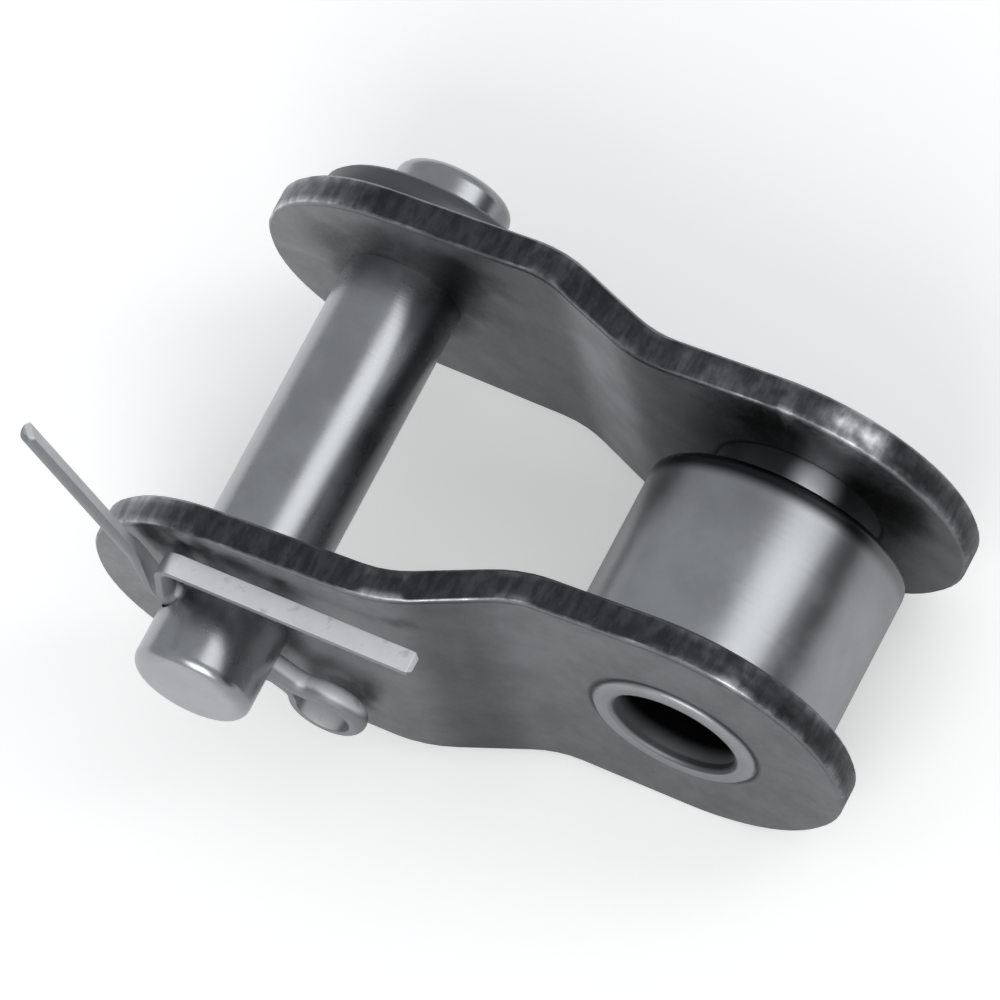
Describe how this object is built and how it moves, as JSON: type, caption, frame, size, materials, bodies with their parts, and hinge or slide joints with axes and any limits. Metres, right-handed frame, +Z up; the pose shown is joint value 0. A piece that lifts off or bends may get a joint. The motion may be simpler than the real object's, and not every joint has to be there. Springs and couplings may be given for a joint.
{
  "type": "offset chain link",
  "caption": "Offset link of a roller chain: cranked side plates joined by a bushing with a free roller at the narrow end, and by a pin with a washer and a split pin at the wide end.",
  "frame": {"origin": "middle of the bushing's bore", "axes": "+X from the connecting pin to the bushing, +Y along both pins towards the washer's side, +Z up with the link standing on its plates' lower edges"},
  "size_m": [0.0222, 0.0165, 0.0134],
  "materials": {
    "plate_steel": "satin, dark, tumbled edges",
    "bushing_steel": "satin, hardened",
    "roller_steel": "satin, hardened",
    "pin_steel": "ground, smooth",
    "washer_steel": "satin",
    "cotter_steel": "bright drawn wire"
  },
  "bodies": {
    "link": {"near_plate": "plate_steel", "far_plate": "plate_steel", "bushing": "bushing_steel", "connecting_pin": "pin_steel", "end_washer": "washer_steel", "cotter_pin": "cotter_steel"},
    "roller": {"roller": "roller_steel"}
  },
  "joints": [
    {"name": "roller_spin", "type": "hinge", "parent": "link", "child": "roller", "pos_m": [0, 0, 0], "axis": [0, 1, 0], "continuous": true}
  ]
}
